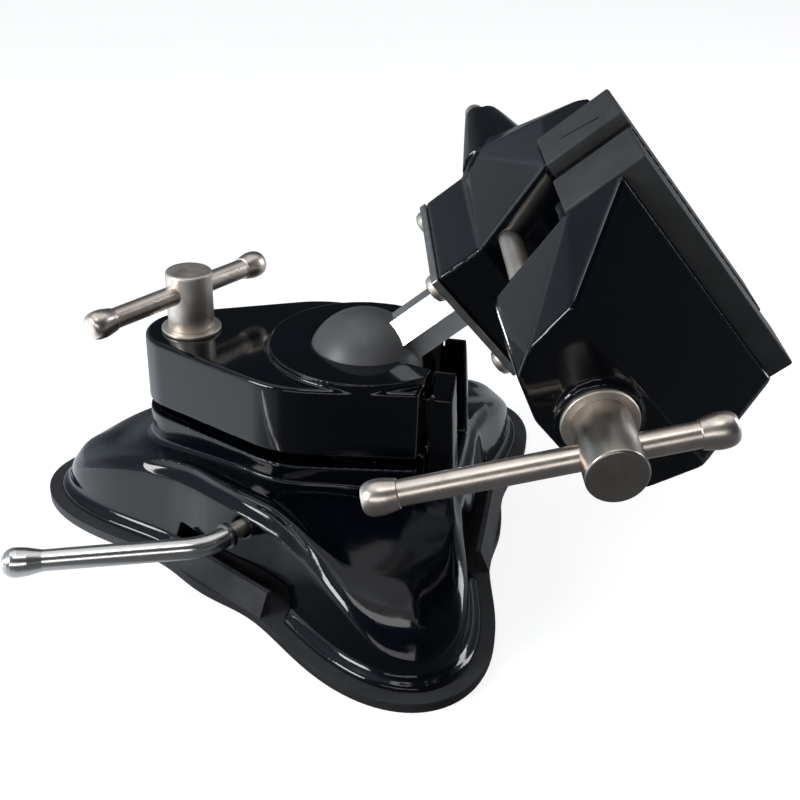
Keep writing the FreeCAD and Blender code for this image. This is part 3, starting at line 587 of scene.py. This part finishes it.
def soft_hub(r, z0, z1, c=0.8):
    # rings of a round head with rounded rims
    out = [(r - 0.35, z0), (r - 0.1, z0 + 0.1), (r, z0 + 0.35), (r, z1 - c)]
    for k in range(1, 7):
        a = math.radians(15 * k)
        out.append((r - c + c * math.cos(a), z1 - c + c * math.sin(a)))
    return out + [(r - c - 0.6, z1)]


def drill(o, p, d, r, sink, reach):
    # cross hole with countersunk mouths
    d = Vector(d).normalized()
    half = 12.0
    prof = [(0, -half)] + [(r + sink + 0.6, -half), (r + sink + 0.6, -reach + 0.02), (r + sink, -reach), (r + sink * 0.35, -reach + sink * 0.75), (r, -reach + sink * 1.5)]
    prof += [(a, -b) for a, b in reversed(prof[1:])] + [(0, half)]
    me = lathe(prof, 64, "drill")
    me.transform(Matrix.Translation(Vector(p)) @ d.to_track_quat("Z", "Y").to_matrix().to_4x4())
    c = bpy.data.objects.new("drill", me)
    bpy.context.scene.collection.objects.link(c)
    m = o.modifiers.new("hole", "BOOLEAN")
    m.operation = "DIFFERENCE"
    m.solver = "EXACT"
    m.object = c
    bpy.context.view_layer.update()
    bake_modifiers(o)
    bpy.data.objects.remove(c)
    bpy.data.meshes.remove(me)


def sharp_by_angle(o, deg=32):
    smooth(o.data)
    bm = bmesh.new()
    bm.from_mesh(o.data)
    lim = math.radians(deg)
    for ed in bm.edges:
        if len(ed.link_faces) == 2 and ed.calc_face_angle(0.0) > lim:
            ed.smooth = False
    bm.to_mesh(o.data)
    bm.free()


NS = 72
HUB_R = 7.0
rings = [ring_of(3.2, 18.0, NS)] + helix(3.45, 4.0, 18.3, 58.0, 1.5, NS) + [ring_of(4.0, 58.4, NS), ring_of(4.0, 62.7, NS)]
rings += [ring_of(r, z, NS) for r, z in soft_hub(HUB_R - 0.1, 62.7, 80.5)]
sk = new_object("clamp_screw_skin", loft(rings, "clamp_screw_skin"), "screw", "nickel", "clamp_screw")
sk.data.transform(Matrix.Translation(Vector((TX, 0, 0)) * MM))
drill(sk, bc, TB, 3.45 * MM, 0.55 * MM, 6.35 * MM)
sharp_by_angle(sk)
set_mat(sk, M_nickel)

rings = [ring_of(3.6, -46.0, NS)] + helix(3.75, 4.45, -45.6, 44.0, 2.0, NS) + [ring_of(4.45, 44.4, NS), ring_of(4.45, 46.98, NS), ring_of(3.62, 47.0, NS),
                                                                                ring_of(3.62, 48.2, NS), ring_of(4.45, 48.22, NS), ring_of(4.45, 88.2, NS)]
rings += [ring_of(r, z, NS) for r, z in soft_hub(HUB_R, 88.2, 106.8)]
ss = new_object("spindle_skin", loft(rings, "spindle_skin"), "spindle_body", "nickel", "spindle")
ss.data.transform(HEAD @ Matrix.Translation(Vector((0, 0, 64.0)) * MM) @ Matrix.Rotation(math.radians(90), 4, "X"))
drill(ss, sc, SB, 3.45 * MM, 0.55 * MM, 6.45 * MM)
sharp_by_angle(ss)
# the spindle takes the darker nickel copy, which paints shade into its colour
set_mat(ss, M_nickel_painted_shade)


def washer(name, ri, ro, h, origin, zdir, body, node):
    e2 = min(0.35, h * 0.3)
    prof = [(ri, e2), (ri + e2, 0), (ro - e2, 0)] + arc(ro - e2, e2, e2, -90, 0, 4)[1:] + arc(ro - e2, h - e2, e2, 0, 90, 4) + [(ri + e2, h), (ri, h - e2), (ri, e2)]
    me = lathe(prof, 96, name)
    z = Vector(zdir).normalized()
    me.transform(Matrix.Translation(Vector(origin)) @ z.to_track_quat("Z", "Y").to_matrix().to_4x4())
    o = new_object(name, me, body, "nickel", node)
    sharp_by_angle(o, 40)
    set_mat(o, M_nickel)
    return o


SDIR = (hq(0, 1, 0) - hq(0, 0, 0)).normalized()
washer("clamp_washer_skin", 4.3, 8.97, 1.2, Vector((TX, 0, 61.5)) * MM, (0, 0, 1), "washer", "clamp_washer")
washer("spindle_washer_skin", 4.52, 8.97, 1.4, hq(0, 86.8, 64.0), SDIR, "spindle_body", "spindle_washer")


def rub_cover(name, s0, s1, inner, body, node, slit):
    # inner is +1 when the gripping face is at s1, -1 when it is at s0
    w1, u0, u1 = 34.98, 82.62, 103.68
    pts = []
    face = s1 if inner > 0 else s0
    back = s0 if inner > 0 else s1
    pts += [(-w1, back), (-w1, face)]
    x = -30.4
    while x < 30.3:
        for dx, dd in ((-0.95, 0), (-0.45, 0.75), (0.45, 0.75), (0.95, 0)):
            pts.append((x + dx, face - inner * dd))
        x += 3.2
    pts += [(w1, face), (w1, back)]
    bm = bmesh.new()
    lo = [bm.verts.new(hq(w, s, u0)) for w, s in pts]
    hi = [bm.verts.new(hq(w, s, u1)) for w, s in pts]
    n = len(pts)
    bm.faces.new(lo)
    bm.faces.new(hi)
    side = []
    for k in range(n):
        q = (k + 1) % n
        side.append(bm.faces.new((lo[k], lo[q], hi[q], hi[k])))
    bmesh.ops.recalc_face_normals(bm, faces=bm.faces)
    ids = [0, 1, n - 2, n - 1]
    ed = []
    for a, b in ((0, 1), (n - 2, n - 1), (n - 1, 0)):
        for row in (lo, hi):
            x = bm.edges.get((row[a], row[b]))
            if x:
                ed.append(x)
    for k in ids:
        ed.append(bm.edges.get((lo[k], hi[k])))
    bmesh.ops.bevel(bm, geom=ed, offset=0.0007, segments=3, profile=0.5, affect="EDGES")
    o = new_object(name, mesh_of(bm, name), body, "cover", node)
    if slit:
        # the open seam in the left end of the cover
        c = bpy.data.objects.new("slit", None)
        me = bpy.data.meshes.new("slit")
        v = []
        for dw in (-36.5, -32.6):
            for (sa, ua) in slit:
                v.append(hq(dw, sa, ua))
        k = len(slit)
        f = [tuple(range(k)), tuple(reversed(range(k, 2 * k)))] + [(i, (i + 1) % k + 0, (i + 1) % k + k, i + k) for i in range(k)]
        me.from_pydata(v, [], f)
        me.validate()
        t = bmesh.new()
        t.from_mesh(me)
        bmesh.ops.recalc_face_normals(t, faces=t.faces)
        t.to_mesh(me)
        t.free()
        bpy.data.objects.remove(c)
        c = bpy.data.objects.new("slit", me)
        bpy.context.scene.collection.objects.link(c)
        m = o.modifiers.new("slit", "BOOLEAN")
        m.operation = "DIFFERENCE"
        m.solver = "EXACT"
        m.object = c
        bpy.context.view_layer.update()
        bake_modifiers(o)
        bpy.data.objects.remove(c)
        bpy.data.meshes.remove(me)
    sharp_by_angle(o, 38)
    set_mat(o, M_cover)
    return o


rub_cover("fixed_cover_skin", 20.5, 36.2, 1, "head", "fixed_jaw_cover", [(28.6, 88.2), (29.3, 88.5), (32.4, 98.6), (31.6, 98.7)])
rub_cover("moving_cover_skin", 45.4, 61.5, -1, "slide_jaw", "moving_jaw_cover", None)


def bevelled(name, width, segs=3):
    o = nodes[name]
    m = o.modifiers.new("weld", "WELD")
    m.merge_threshold = 2e-6
    m = o.modifiers.new("edge", "BEVEL")
    m.width = width * MM
    m.segments = segs
    m.limit_method = "ANGLE"
    m.angle_limit = math.radians(40)
    m.harden_normals = False
    m.use_clamp_overlap = True


bevelled("suction_disc", 0.5)
bevelled("head_plate", 0.45)
bevelled("ball_stem", 0.45)


# ------------------------------------------------------- camera and studio
cam_data = bpy.data.cameras.new("camera")
cam = bpy.data.objects.new("camera", cam_data)
bpy.context.scene.collection.objects.link(cam)
cam_data.sensor_width = 36.0
cam_data.lens = 52.2
az, el, roll = math.radians(9.094), math.radians(28.70), math.radians(1.967)
back = Vector((math.sin(az) * math.cos(el), -math.cos(az) * math.cos(el), math.sin(el)))
right = Vector((math.cos(az), math.sin(az), 0))
up = back.cross(right)
r2 = right * math.cos(roll) + up * math.sin(roll)
u2 = up * math.cos(roll) - right * math.sin(roll)
M = Matrix((r2, u2, back)).transposed().to_4x4()
M.translation = Vector((0.07054, -0.30486, 0.21377))
cam.matrix_world = M
cam_data.clip_start = 0.01
bpy.context.scene.camera = cam


def area(name, loc, target, size, power, color=(1, 1, 1), size_y=None):
    d = bpy.data.lights.new(name, "AREA")
    d.energy = power
    d.color = color
    d.shape = "RECTANGLE"
    d.size = size
    d.size_y = size_y or size
    o = bpy.data.objects.new(name, d)
    bpy.context.scene.collection.objects.link(o)
    o.location = loc
    o.rotation_euler = (Vector(target) - Vector(loc)).to_track_quat("-Z", "Y").to_euler()
    return o


area("key_left", (-0.602, -0.470, 0.412), (0.0, 0.0, 0.05), 0.31, 3.5, (1, 1, 1), 0.28)
area("top_soft", (0.0, 0.25, 1.15), (0, 0, 0.05), 1.5, 2.5, (1, 0.985, 0.96), 1.1)
area("top_front", (-0.02, -0.36, 1.12), (0, 0, 0.08), 0.34, 0.8, (1, 1, 1), 0.26)
area("front_low", (0.02, -1.05, 0.40), (0.0, 0.0, 0.06), 0.95, 1.4, (1, 1, 1), 0.30)
area("right_rim", (0.85, 0.45, 0.35), (0.03, 0, 0.06), 0.22, 3.0, (0.97, 0.98, 1), 0.6)


def plane(name, z, half, mat):
    me = bpy.data.meshes.new(name)
    me.from_pydata([(-half, -half, z), (half, -half, z), (half, half, z), (-half, half, z)], [], [(0, 1, 2, 3)])
    o = bpy.data.objects.new(name, me)
    bpy.context.scene.collection.objects.link(o)
    me.materials.append(mat)
    return o


# the paper that the camera sees
kf = Nodes("floor_paper")
kf.link(kf.ramp(kf.noise(3, 2), [(0.3, (0.44, 0.44, 0.44)), (0.7, (0.46, 0.46, 0.46))]), kf.b.inputs["Base Color"])
kf.b.inputs["Roughness"].default_value = 0.9
kf.b.inputs["Specular IOR Level"].default_value = 0.1
kf.b.inputs["Emission Color"].default_value = (1, 1, 1, 1)
kf.b.inputs["Emission Strength"].default_value = 0.80
floor = plane("floor", 0.0, 40.0, kf.m)
floor.visible_glossy = False
floor.visible_diffuse = False


# the table under it that the object mirrors: bright to the left, dark in front
def polar(tree, coord, stops):
    g = tree.nodes.new("ShaderNodeTexGradient")
    g.gradient_type = "RADIAL"
    tree.links.new(coord, g.inputs["Vector"])
    r = tree.nodes.new("ShaderNodeValToRGB")
    r.color_ramp.interpolation = "EASE"
    el = r.color_ramp.elements
    while len(el) < len(stops):
        el.new(0.5)
    for i, (deg, c) in enumerate(stops):
        el[i].position = deg / 360.0 + 0.5
        el[i].color = (c[0], c[1], c[2], 1)
    tree.links.new(g.outputs["Fac"], r.inputs[0])
    return r.outputs[0]


def gray(v, warm=-0.07):
    return (v * (1 + warm), v, v * (1 - warm))


kg = Nodes("table_glow")
kg.b.inputs["Base Color"].default_value = (0.02, 0.02, 0.02, 1)
kg.b.inputs["Roughness"].default_value = 1.0
kg.link(polar(kg.t, kg.co, [(-180, gray(1.00)), (-152, gray(0.85)), (-128, gray(0.30)), (-112, gray(0.06)), (-80, gray(0.035)),
                            (-30, gray(0.06)), (10, gray(0.25)), (60, gray(0.35)), (100, gray(0.14)), (138, gray(0.14)), (158, gray(0.55)), (180, gray(1.00))]),
        kg.b.inputs["Emission Color"])
kg.b.inputs["Emission Strength"].default_value = 1.35
table = plane("table", -0.001, 2.5, kg.m)
table.visible_camera = False
table.visible_shadow = False

world = bpy.data.worlds.new("studio")
bpy.context.scene.world = world
world.use_nodes = True
wt = world.node_tree
wt.nodes.clear()
wo = wt.nodes.new("ShaderNodeOutputWorld")
bg = wt.nodes.new("ShaderNodeBackground")
co = wt.nodes.new("ShaderNodeTexCoord")
sep = wt.nodes.new("ShaderNodeSeparateXYZ")
ramp = wt.nodes.new("ShaderNodeValToRGB")
wt.links.new(co.outputs["Generated"], sep.inputs[0])
wt.links.new(sep.outputs["Z"], ramp.inputs[0])
e = ramp.color_ramp.elements
e[0].position, e[0].color = 0.0, (*gray(0.55), 1)
e[1].position, e[1].color = 0.16, (*gray(0.50), 1)
for q, c in ((0.34, 0.30), (0.55, 0.26), (0.80, 0.40), (1.0, 0.50)):
    x = e.new(q)
    x.color = (*gray(c), 1)
around = polar(wt, co.outputs["Generated"], [(-180, gray(1.1)), (-150, gray(0.9)), (-120, gray(0.25)), (-90, gray(0.10)), (-45, gray(0.10)), (8, gray(0.14)),
                                             (42, gray(0.80)), (74, gray(0.20)), (92, gray(0.12)), (112, gray(0.16)), (146, gray(0.9)), (180, gray(1.1))])
mix = wt.nodes.new("ShaderNodeMix")
mix.data_type = "RGBA"
mix.blend_type = "MULTIPLY"
mix.inputs["Factor"].default_value = 1.0
wt.links.new(ramp.outputs[0], mix.inputs["A"])
wt.links.new(around, mix.inputs["B"])
wt.links.new(mix.outputs["Result"], bg.inputs["Color"])
bg.inputs["Strength"].default_value = 1.0
wt.links.new(bg.outputs[0], wo.inputs["Surface"])

sv = bpy.context.scene.view_settings
sv.view_transform = "Standard"
sv.look = "None"
sv.exposure = 0.0
sv.gamma = 1.0
